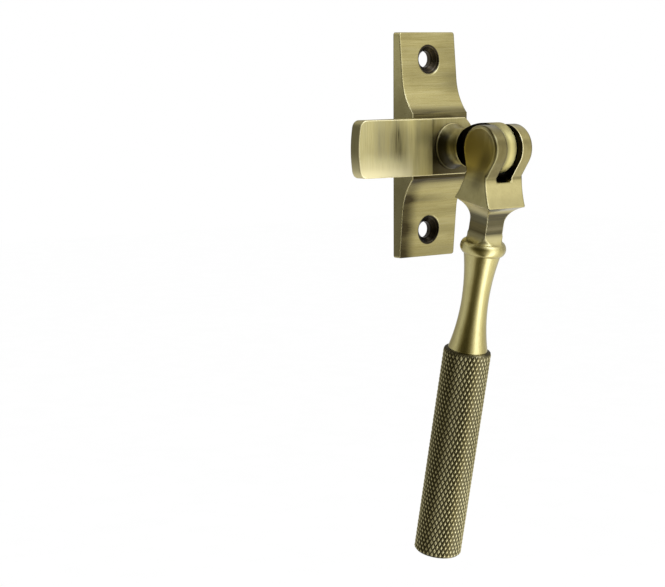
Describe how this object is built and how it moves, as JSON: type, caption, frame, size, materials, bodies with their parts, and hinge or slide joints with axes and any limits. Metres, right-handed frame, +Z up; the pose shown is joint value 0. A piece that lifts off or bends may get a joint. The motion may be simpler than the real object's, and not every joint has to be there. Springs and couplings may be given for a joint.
{
  "type": "casement fastener",
  "caption": "Casement window fastener: screw-on backplate with a raised boss, a turning latch nose, and a fold-over handle with a knurled grip that suits either hand.",
  "frame": {"origin": "centre of the backplate's back face, midway between the two screw holes and on the spindle's axis", "axes": "+X to the right seen from the front, +Y into the window frame it is screwed to, +Z up along the plate; the front faces -Y"},
  "size_m": [0.0417, 0.0354, 0.1415],
  "materials": {
    "antique_brass": "brushed antique brass, lacquered",
    "knurled_brass": "diamond knurl, dark in the grooves",
    "steel": "plain bright steel"
  },
  "bodies": {
    "plate": {"backplate": "antique_brass"},
    "latch": {"latch_nose": "antique_brass", "spring_washer": "steel", "retaining_washer": "steel"},
    "handle": {"handle_shank": "antique_brass", "hinge_pin": "steel", "grip": "knurled_brass"}
  },
  "joints": [
    {"name": "latch_turn", "type": "hinge", "parent": "plate", "child": "latch", "pos_m": [0, 0, 0], "axis": [0, -1, 0], "range_deg": [-90, 90]},
    {"name": "handle_fold", "type": "hinge", "parent": "latch", "child": "handle", "pos_m": [0, -0.02925, 0], "axis": [-1, 0, 0], "range_deg": [0, 156.75]}
  ]
}
